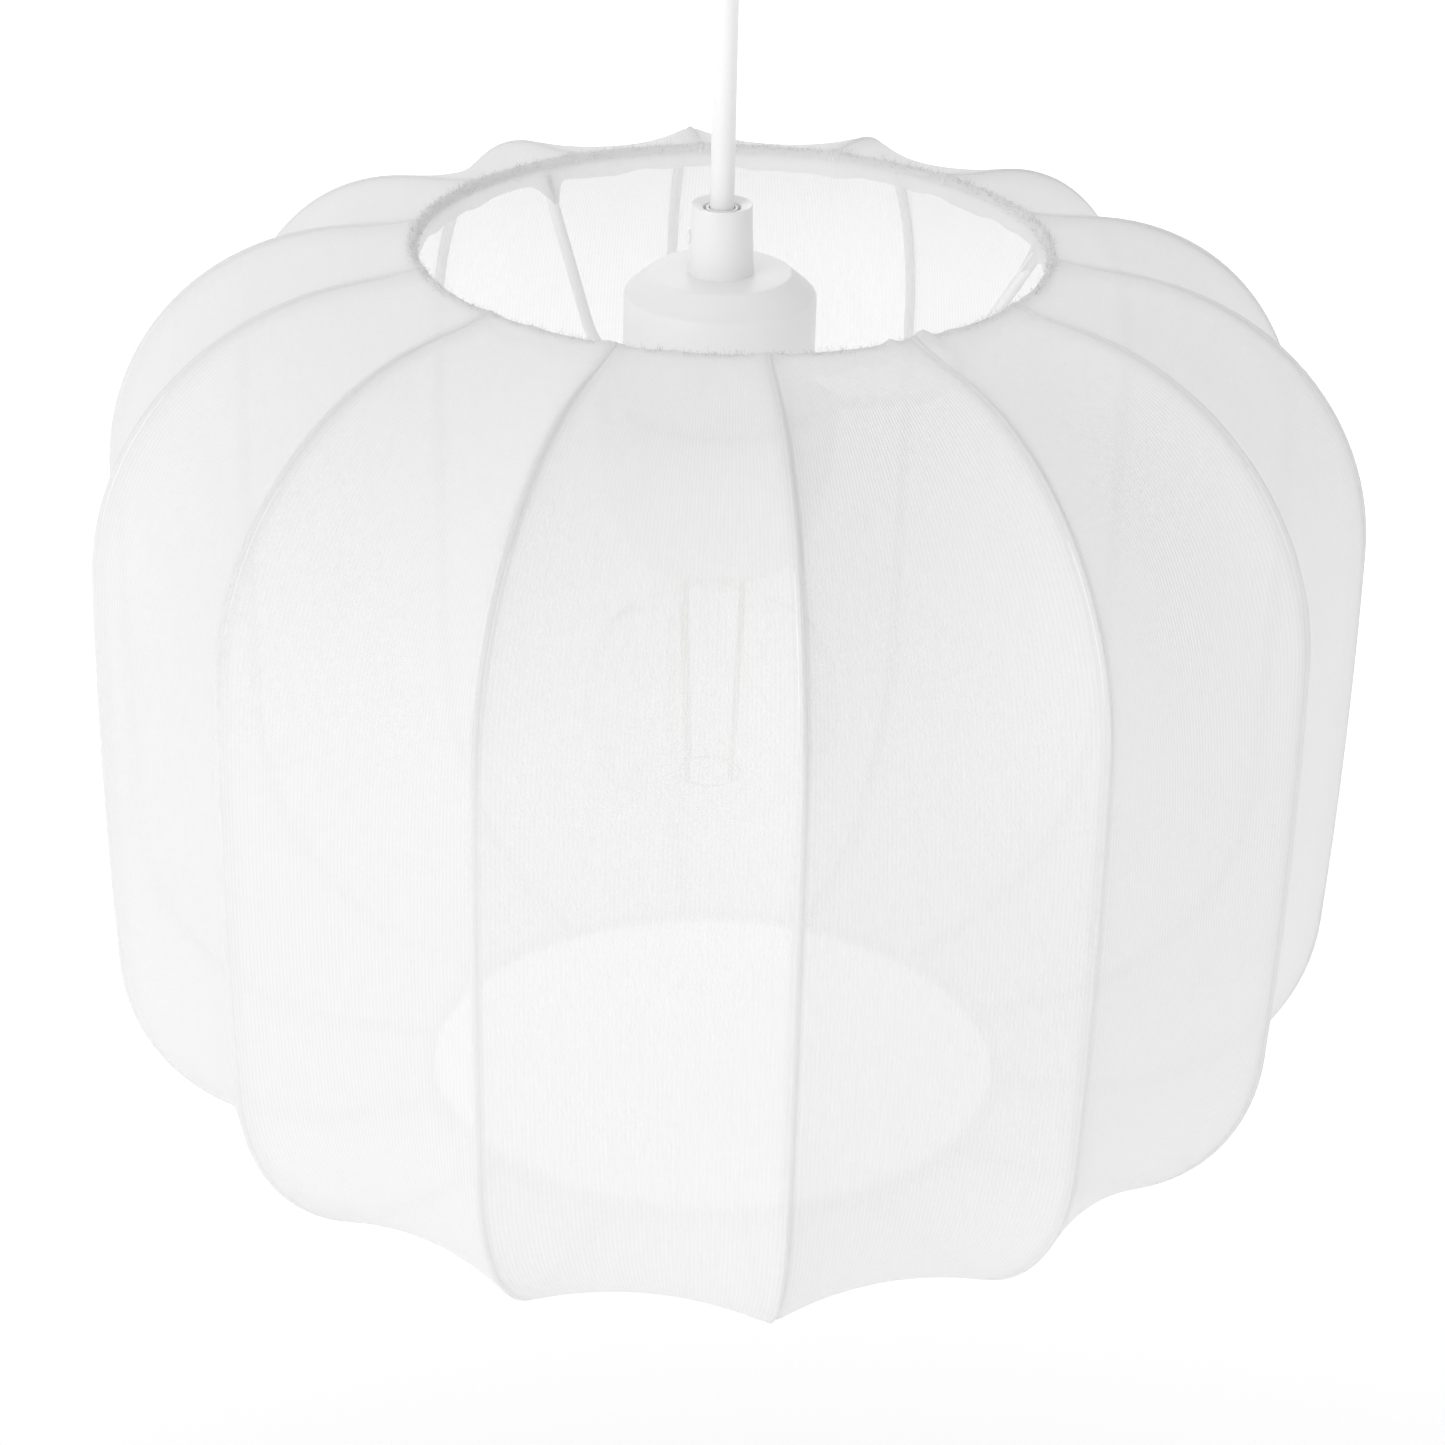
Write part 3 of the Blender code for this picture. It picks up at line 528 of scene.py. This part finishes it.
def bendSpider():
    level = wires["armElbow"][1]
    start = np.array([wires["ring"] - 0.3 * mm, topRing[2] - 2.4 * mm])
    elbow, foot = np.array(wires["armElbow"]), np.array([wires["armFoot"], level])
    come = (elbow - start) / np.linalg.norm(elbow - start)
    go = (foot - elbow) / np.linalg.norm(foot - elbow)
    bend = wires["armBow"]
    bow = [elbow - come * bend * (1 - t) ** 2 + go * bend * t ** 2 for t in np.linspace(0, 1, 9)]
    for number, degrees in enumerate(wires["armTurns"], 1):
        turn = math.radians(degrees)
        path = [Vector(roundAbout(r, z, turn)) for r, z in (start, *bow, foot)]
        for spot, (r, _) in zip(path, (start, *bow, foot)):
            spot.x += aside * (r - foot[0]) / (start[0] - foot[0])
        piece = wirePiece(f"spiderArm{number}", path, wires["diameter"], enamel)
        takePlace(piece, "shade", "painted_wire", f"spider_arm_{number}")
    (hole, rim), half = wires["washer"], wires["washerHalf"]
    washer = spunPiece("spiderWasher", [
        (hole, level - half), (rim, level - half), (rim, level + half), (hole, level + half),
    ], enamel, round=0.35 * mm)
    takePlace(washer, "shade", "painted_wire", "carrier_ring")


# ---- jersey sleeve

sleeve = {
    "inset": 0.05 * mm,          # from the cover's outer face to the middle of the cloth
    "hemBand": 4.4 * mm,        # folded in behind each ring
    "pullTop": 1.45, "pullBase": 0.55,   # pull along the ribs for each unit round them
    "spans": 20,                # spans between two ribs while it settles
    "widest": 0.163,            # radius at its widest, m
    "middleLines": 23,          # lines of stitches that keep even gaps between two ribs
    "besideRib": (0.5 * mm, 1.1 * mm, 2.0 * mm, 3.4 * mm),  # extra lines of stitches next to a wire
    # how far the cloth sinks at a rib's crest and beside it
    "ridge": (0.1 * mm, 0.08 * mm, 0.4 * mm, 0.16 * mm),
    "armTongue": 4.5 * mm,      # the hem reaches this much further down an arm
    "ribPinch": 0.9 * mm,       # bump where a rib's end stands on the top ring
    # small drag folds from the top hem: turn in degrees, then reach downwards, height and half width in mm
    "folds": (
        (35.5, 28, 2.2, 2.2), (29.0, 20, 1.5, 1.8), (41.5, 20, 0.5, 2.2), (352.0, 14, 0.5, 2.0),
        (64.0, 22, 0.5, 2.4), (326.0, 18, 0.45, 2.2), (297.0, 16, 0.4, 2.2), (101.0, 16, 0.6, 2.0),
        (220.0, 14, 0.5, 2.0), (340.0, 14, 0.6, 2.0)),
    "flat": (0.72, 0.31),       # the tube's girth and length off the frame, m
}


def settleGore(line, ends):
    # one span of cloth between two ribs, pinned to them and to the rings, its pulls in balance
    spans, ribs = sleeve["spans"], wires["ribs"]
    turns = np.linspace(0, math.tau / ribs, spans + 1)
    radius, height = line[:, :1], line[:, 1:2]
    hoops = np.stack([radius * np.sin(turns), -radius * np.cos(turns), height + 0 * turns], axis=2)
    share = np.linspace(0, 1, spans + 1)[None, :, None]
    cloth = hoops[:, :1] * (1 - share) + hoops[:, -1:] * share
    cloth[:ends], cloth[-ends:] = hoops[:ends], hoops[-ends:]
    gaps = np.linalg.norm(np.diff(line[:, :2], axis=0), axis=1)
    travelled = np.concatenate([[0], np.cumsum(gaps)])
    pull = np.interp(travelled, [0, travelled[-1]], [sleeve["pullTop"], sleeve["pullBase"]])
    rows = slice(ends, len(line) - ends)
    above, below = (pull[1:-1] / gaps[:-1])[ends - 1:1 - ends], (pull[1:-1] / gaps[1:])[ends - 1:1 - ends]
    reach = ((gaps[:-1] + gaps[1:]) / 2)[ends - 1:1 - ends]
    for _ in range(1500):
        width = np.linalg.norm(np.diff(cloth[rows], axis=1), axis=2).mean(axis=1)
        beside = reach / width ** 2
        weight = (above + below + 2 * beside)[:, None, None]
        up, down = cloth[ends - 1:-ends - 1, 1:-1], cloth[ends + 1:len(line) - ends + 1, 1:-1]
        cloth[rows, 1:-1] = (above[:, None, None] * up + below[:, None, None] * down
                             + beside[:, None, None] * (cloth[rows, :-2] + cloth[rows, 2:])) / weight
    return cloth


def smoothAcross(cloth, shares):
    # the settled span read at uneven places, along a smooth curve through its points
    spans = cloth.shape[1] - 1
    slopes = np.gradient(cloth, axis=1)
    slopes[:, 0] = (-3 * cloth[:, 0] + 4 * cloth[:, 1] - cloth[:, 2]) / 2
    slopes[:, -1] = (3 * cloth[:, -1] - 4 * cloth[:, -2] + cloth[:, -3]) / 2
    at = np.clip(np.array(shares) * spans, 0, spans - 1e-9)
    k = at.astype(int)
    t = (at - k)[None, :, None]
    a, b, da, db = cloth[:, k], cloth[:, k + 1], slopes[:, k], slopes[:, k + 1]
    return ((2 * t ** 3 - 3 * t ** 2 + 1) * a + (t ** 3 - 2 * t ** 2 + t) * da
            + (-2 * t ** 3 + 3 * t ** 2) * b + (t ** 3 - t ** 2) * db)


def hemRows(line):
    # the line with its hem bands added inside the top and the bottom ring
    band = sleeve["hemBand"]
    drops = np.array([1.0, 0.75, 0.5, 0.25]) * band
    top = np.column_stack([np.full(4, line[0, 0]), line[0, 1] - drops, np.full(4, math.pi / 2)])
    base = np.column_stack([np.full(4, line[-1, 0]), line[-1, 1] + drops[::-1], np.full(4, -1.5 * math.pi)])
    return np.vstack([top, line, base])


def dragAndPinch(cloth, travelled, hemStart):
    # small folds that run down from the top hem, and a bump over each rib's end; all of them end in nothing
    turn = np.degrees(np.arctan2(cloth[..., 0], -cloth[..., 1]))
    radius = np.hypot(cloth[..., 0], cloth[..., 1])
    below = (travelled - hemStart)[:, None] / mm
    lift = np.zeros_like(radius)
    for where, reach, height, half in sleeve["folds"]:
        off = np.radians((turn - where + 180) % 360 - 180) * radius / mm
        fade = np.exp(-(below / (reach * 0.5)) ** 2) * np.clip(1 - below / (reach * 1.6), 0, 1)
        fade = fade * (below > -3)
        lift += height * fade * np.exp(-(off / half) ** 2)
    for rib in range(wires["ribs"]):
        where = math.degrees(wires["firstRib"]) + rib * 360 / wires["ribs"]
        off = np.radians((turn - where + 180) % 360 - 180) * radius / mm
        lift += sleeve["ribPinch"] / mm * np.exp(-(off / 2.2) ** 2) * np.exp(-((below - 1) / 4.5) ** 2)
    cloth[..., 2] += lift * mm * 0.9
    # the hem band hangs a little unevenly, and further down where it goes round an arm
    turn, radius = turn[:4], radius[:4]
    hang = 0.45 * np.sin(np.radians(turn * 9 + 20)) + 0.3 * np.sin(np.radians(turn * 23))
    hang += 0.2 * np.sin(np.radians(turn * 41))
    for where in wires["armTurns"]:
        off = np.radians((turn - where + 180) % 360 - 180) * radius / mm
        tongue = np.exp(-(off / 2.8) ** 2)
        hang += sleeve["armTongue"] / mm * tongue
        slip = 1 - sleeve["armTongue"] * np.array([1.0, 0.65, 0.28, 0.07])[:, None] * tongue / radius
        cloth[:4, :, 0] *= slip
        cloth[:4, :, 1] *= slip
    cloth[:4, :, 2] -= hang * mm * np.array([1.0, 0.7, 0.4, 0.15])[:, None]
    return cloth


def stretchSleeve():
    ribs = wires["ribs"]
    fine = coverLine(sleeve["inset"], 4 * mm)
    gore = settleGore(fine, 7)
    line = hemRows(fine)
    hoops = np.linspace(0, math.tau / ribs, sleeve["spans"] + 1)
    extra = [np.stack([r * np.sin(hoops), -r * np.cos(hoops), z + 0 * hoops], axis=1)
             for r, z, _ in (*line[:4], *line[-4:])]
    gore = np.concatenate([np.array(extra[:4]), gore, np.array(extra[4:])])
    widest = 2 * math.pi * sleeve["widest"] / ribs
    near = [d / widest for d in sleeve["besideRib"]]
    middle = list(np.linspace(near[-1], 1 - near[-1], sleeve["middleLines"]))[1:-1]
    shares = [0.0, *near, *middle, *[1 - d for d in reversed(near)]]
    gore = smoothAcross(gore, shares)
    for k, flat in enumerate(sleeve["ridge"]):
        for column in (k, -k) if k else (0,):
            turn = shares[column] * math.tau / ribs
            inwards, down = np.sin(line[:, 2]), -np.cos(line[:, 2])
            push = flat * np.column_stack([inwards * math.sin(turn), -inwards * math.cos(turn), down])
            gore[4:-4, column] += push[4:-4]
    columns, rows = len(shares), len(line)
    whole = []
    for rib in range(ribs):
        turn = wires["firstRib"] + rib * math.tau / ribs
        spun = np.array([
            [math.cos(turn), math.sin(turn), 0], [-math.sin(turn), math.cos(turn), 0], [0, 0, 1]])
        whole.append(gore @ spun)
    cloth = np.concatenate(whole, axis=1)
    travelled = np.concatenate([[0], np.cumsum(np.linalg.norm(np.diff(line[:, :2], axis=0), axis=1))])
    cloth = dragAndPinch(cloth, travelled, travelled[7])
    cloth[..., 0] += aside
    across = np.array([rib + s for rib in range(ribs) for s in shares] + [ribs]) * jersey["wales"] / ribs
    along = travelled / (jersey["course"] * mm)
    bm = bmesh.new()
    bmesh.ops.create_grid(bm, x_segments=columns * ribs, y_segments=rows - 1, size=0.5)
    knitMap = bm.loops.layers.uv.new("knit")
    bm.verts.index_update()
    spots = {
        v: (round((v.co.x + 0.5) * columns * ribs), round((v.co.y + 0.5) * (rows - 1))) for v in bm.verts}
    for face in bm.faces:
        for loop in face.loops:
            i, j = spots[loop.vert]
            loop[knitMap].uv = (across[i], along[j])
    for vert, (i, j) in spots.items():
        vert.co = cloth[j, i % (columns * ribs)]
    bmesh.ops.remove_doubles(bm, verts=bm.verts, dist=1e-6)
    piece = fromBmesh(bm, "jerseySleeve", knit, crease=180)
    side = [f for f in piece.data.polygons if abs(f.center.z - (shadeTop - 0.12)) < 0.02][0]
    if side.normal.dot(Vector((side.center.x, side.center.y, 0))) < 0:
        piece.data.flip_normals()
    takePlace(piece, "shade", "jersey", "fabric_cover")


# cut threads' ends along the top hem, lengths in mm
fuzz = {"number": 2600, "length": (0.2, 0.9), "thick": 0.05 * mm}


def combFuzz():
    dice = random.Random(7)
    curve = bpy.data.curves.new("hemFuzz", "CURVE")
    curve.dimensions = "3D"
    curve.bevel_depth, curve.bevel_resolution = fuzz["thick"] / 2, 0
    for _ in range(fuzz["number"]):
        turn, tilt = dice.uniform(0, math.tau), math.radians(dice.gauss(100, 42))
        out = Vector((math.sin(turn), -math.cos(turn), 0)) * math.cos(tilt) + Vector((0, 0, math.sin(tilt)))
        root = Vector(shadeAbout(wires["ring"], topRing[2], turn)) + out * (wires["fold"] - sleeve["inset"])
        drift = Vector([dice.uniform(-1, 1) for _ in range(3)])
        length = dice.uniform(*fuzz["length"]) * mm
        hair = curve.splines.new("POLY")
        hair.points.add(2)
        for point, share in zip(hair.points, (0.0, 0.5, 1.0)):
            point.co = (*(root + (out * share + drift * share ** 2) * length), 1.0)
    piece = bpy.data.objects.new("hemFuzz", curve)
    bpy.context.scene.collection.objects.link(piece)
    dress(piece, threadEnds)
    takePlace(piece, "shade", "jersey")


# ---- lampholder

holder = {
    "capTop": shadeTop - 8.6 * mm, "capFlat": 17.6 * mm, "capOut": 24.2 * mm,
    "capEdge": shadeTop - 44.15 * mm, "collarTop": shadeTop + 9.0 * mm, "nutTop": shadeTop - 46.25 * mm,
    "skirtEnd": shadeTop - 85.0 * mm, "skirtOut": 20.9 * mm, "floor": shadeTop - 50 * mm,
}


def turnHolder():
    top, flat, out, edge = (holder[k] for k in ("capTop", "capFlat", "capOut", "capEdge"))
    cap = spunPiece("holderCap", [
        (6.3 * mm, top), (flat - 0.5 * mm, top), (flat + 0.2 * mm, top - 0.12 * mm),
        (flat + 0.7 * mm, top - 0.5 * mm), (out - 1.0 * mm, top - 4.7 * mm),
        (out - 0.3 * mm, top - 5.45 * mm), (out, top - 6.4 * mm), (out, edge), (out - 2.2 * mm, edge),
        (out - 2.2 * mm, top - 7.4 * mm),
        (flat, top - 2.2 * mm), (6.3 * mm, top - 2.2 * mm),
    ], plastic, steps=128, round=0.2 * mm)
    takePlace(cap, "lamp", "white_moulding", "holder_cap")
    rim = holder["collarTop"]
    collar = spunPiece("flexCollar", [
        (4.7 * mm, rim - 1.0 * mm), (7.3 * mm, rim - 0.15 * mm), (7.6 * mm, rim), (7.75 * mm, rim - 6 * mm),
        (8.35 * mm, top - 0.5 * mm), (6.0 * mm, top - 0.5 * mm), (6.0 * mm, top - 4.0 * mm),
        (4.7 * mm, top - 4.0 * mm),
    ], plastic, steps=96, round=0.3 * mm)
    takePlace(collar, "lamp", "white_moulding", "cord_grip_collar")
    bm = bmesh.new()
    bmesh.ops.create_uvsphere(bm, u_segments=20, v_segments=12, radius=1.9 * mm)
    bmesh.ops.scale(bm, vec=(0.5, 1.0, 1.0), verts=bm.verts)
    bmesh.ops.translate(bm, vec=(-7.9 * mm, -1.0 * mm, rim - 8.6 * mm), verts=bm.verts)
    takePlace(fromBmesh(bm, "collarGrubScrew", plastic), "lamp", "white_moulding")
    liner = spunPiece("collarLiner", [
        (3.35 * mm, rim - 1.0 * mm), (4.0 * mm, rim - 1.0 * mm), (4.3 * mm, rim - 5.0 * mm),
        (4.3 * mm, top - 3.0 * mm), (3.35 * mm, top - 3.0 * mm),
    ], plastic, steps=64, round=0.15 * mm)
    takePlace(liner, "lamp", "white_moulding", "grip_sleeve")
    end, skirt, floor, high = (holder[k] for k in ("skirtEnd", "skirtOut", "floor", "nutTop"))
    body = spunPiece("socketBody", [
        (0.0, top - 14 * mm), (18 * mm, top - 14 * mm), (18 * mm, high + 6 * mm), (skirt, high + 4 * mm),
        (skirt, end), (15.4 * mm, end), (15.0 * mm, end + 1.5 * mm), (15.0 * mm, floor), (0.0, floor),
    ], ceramic, steps=96, round=0.4 * mm)
    takePlace(body, "lamp", "ceramic", "socket_body")
    bore = 21.3 * mm
    bell = [(30.5, 0), (30.6, 2.2), (30.0, 2.8), (30.0, 4.0), (30.5, 4.7), (30.3, 8), (29.8, 12.5),
            (29.2, 17), (28.0, 21.5), (26.4, 26.5), (24.4, 31.5), (22.9, 35), (22.2, 37)]
    nut = spunPiece("shadeRingNut", [
        (bore, high), *[(r * mm, high - z * mm) for r, z in bell], (bore, high - 37 * mm),
        (bore, high - 33 * mm), (24.4 * mm, high - 26 * mm), (27.2 * mm, high - 16.5 * mm),
        (28.3 * mm, high - 6 * mm), (28.2 * mm, high - 2.6 * mm), (bore, high - 2.6 * mm),
    ], nutPlastic, steps=128, round=0.3 * mm)
    takePlace(nut, "ring_nut", "white_moulding", "shade_ring_nut")


# ---- bulb

bulb = {"globe": 34 * mm, "level": shadeTop - 128.5 * mm, "neck": 13.6 * mm, "wall": 0.9 * mm,
        "sticksTop": shadeTop - 97 * mm, "sticksEnd": shadeTop - 149 * mm}


def blowBulb():
    ball, level, neck, wall = (bulb[k] for k in ("globe", "level", "neck", "wall"))
    high = holder["skirtEnd"] - 0.5 * mm
    throat = [(neck, high), (neck, high - 3 * mm), (neck + 0.6 * mm, high - 6 * mm),
              (neck + 2.2 * mm, high - 9.5 * mm), (neck + 4.8 * mm, high - 13.8 * mm),
              (neck + 8.0 * mm, high - 18 * mm)]
    angles, lined = np.radians(np.linspace(38, -90, 28)), ball - wall
    outer = throat + [(ball * math.cos(a), level + ball * math.sin(a)) for a in angles]
    inner = [(r - wall, z) for r, z in throat]
    inner += [(lined * math.cos(a), level + lined * math.sin(a)) for a in angles]
    outer[-1], inner[-1] = (0.0, outer[-1][1]), (0.0, inner[-1][1])
    globe = spunPiece("bulbGlobe", outer + inner[::-1], glass, steps=96, crease=60)
    takePlace(globe, "bulb", "clear_glass", "bulb_glass")
    top, end = bulb["sticksTop"], bulb["sticksEnd"]
    stem = spunPiece("bulbStem", [
        (0.0, top - 30 * mm), (1.2 * mm, top - 29.6 * mm), (1.7 * mm, top - 28 * mm),
        (1.7 * mm, top + 1 * mm), (2.6 * mm, top + 5 * mm), (5.0 * mm, top + 8.5 * mm),
        (11.0 * mm, high - 1.2 * mm), (10.2 * mm, high - 1.2 * mm), (0.0, top + 11.5 * mm),
    ], glass, steps=48)
    takePlace(stem, "bulb", "clear_glass", "bulb_stem")
    for number in range(4):
        turn = math.radians(45 + 90 * number)
        start, stop = Vector(roundAbout(10.8 * mm, top, turn)), Vector(roundAbout(8.2 * mm, end, turn))
        points = [start.lerp(stop, t) for t in (0, 0.5, 1)]
        stick = wirePiece(f"filamentStick{number + 1}", points, 1.7 * mm, phosphor, roundness=4)
        takePlace(stick, "bulb", "filament_coating", f"filament_{number + 1}")
        feed = [roundAbout(1.5 * mm, top + 1.5 * mm, turn), roundAbout(5 * mm, top + 4.5 * mm, turn),
                roundAbout(9.4 * mm, top + 4.2 * mm, turn), roundAbout(10.8 * mm, top + 0.4 * mm, turn)]
        lead = wirePiece(f"filamentLead{number + 1}", feed, 0.45 * mm, capMetal)
        takePlace(lead, "bulb", "cap_metal")
    ring = [roundAbout(8.2 * mm, end - 0.9 * mm, k * math.tau / 48) for k in range(48)]
    hoop = wirePiece("filamentHoop", ring, 0.6 * mm, capMetal, closed=True)
    takePlace(hoop, "bulb", "cap_metal", "filament_hoop")


# ---- ceiling cup and its grip

cup = {"out": 39 * mm, "deep": 42 * mm, "wall": 1.8 * mm, "hole": 6.4 * mm,
       "screwHole": 2.3 * mm, "screwPlace": (38 * mm, -5.5 * mm)}   # radius, and its middle as reach, height


def turnCup():
    out, floor, wall, hole = cup["out"], -cup["deep"], cup["wall"], cup["hole"]
    skin = [(out, 0.0), (out, -8 * mm), (out - 0.6 * mm, -12.6 * mm), (out - 2.2 * mm, -17 * mm),
            (out - 4.7 * mm, -21.6 * mm), (out - 8 * mm, -26 * mm), (out - 12.4 * mm, -30.7 * mm),
            (out - 17.5 * mm, -34.9 * mm), (out - 21.5 * mm, -38 * mm), (13.6 * mm, floor + 1.0 * mm),
            (11.5 * mm, floor)]
    lining = [(hole, floor), (hole, floor + wall), (12.6 * mm, floor + wall + 0.8 * mm),
              (out - 18.6 * mm, -33.0 * mm), (out - 9.4 * mm, -24.9 * mm),
              (out - wall - 2.2 * mm, -16.6 * mm), (out - wall, -8 * mm), (out - wall, 0.0)]
    shell = spunPiece("ceilingCup", skin + lining, plastic, steps=128, round=0.3 * mm)
    drills, bit, (reach, height) = [], cup["screwHole"], cup["screwPlace"]
    for side in (-1, 1):
        bm = bmesh.new()
        bmesh.ops.create_cone(bm, cap_ends=True, segments=24, radius1=bit, radius2=bit, depth=8 * mm)
        bmesh.ops.rotate(bm, cent=(0, 0, 0), matrix=Matrix.Rotation(math.pi / 2, 3, "Y"), verts=bm.verts)
        bmesh.ops.translate(bm, vec=(side * reach, 0, height), verts=bm.verts)
        drill = fromBmesh(bm, "cupDrill", plastic)
        hollow = shell.modifiers.new("drill", "BOOLEAN")
        hollow.operation, hollow.object = "DIFFERENCE", drill
        drills.append(drill)
    settled = bpy.data.meshes.new_from_object(shell.evaluated_get(bpy.context.evaluated_depsgraph_get()))
    shell.modifiers.clear()
    shell.data = settled
    for drill in drills:
        bpy.data.objects.remove(drill)
    takePlace(shell, "ceiling", "white_moulding", "ceiling_cup")
    top, end, bore = floor + 9 * mm, floor - 7 * mm, 3.9 * mm
    grip = spunPiece("cupGrip", [
        (bore, top), (hole - 0.3 * mm, top), (hole - 0.3 * mm, floor - 0.3 * mm),
        (9.2 * mm, floor - 0.3 * mm), (9.2 * mm, floor - 2.5 * mm), (8.4 * mm, floor - 5.0 * mm),
        (7.0 * mm, end), (5.4 * mm, end), (bore, flex["top"] + 2.2 * mm),
    ], plastic, steps=96, round=0.25 * mm)
    takePlace(grip, "grip", "white_moulding", "cup_grip")


turnCup()
hangFlex()
print("stage: cup and flex")
bendFrame()
bendSpider()
print("stage: wire frame")
stretchSleeve()
combFuzz()
print("stage: jersey sleeve")
turnHolder()
blowBulb()
print("stage: lampholder and bulb")
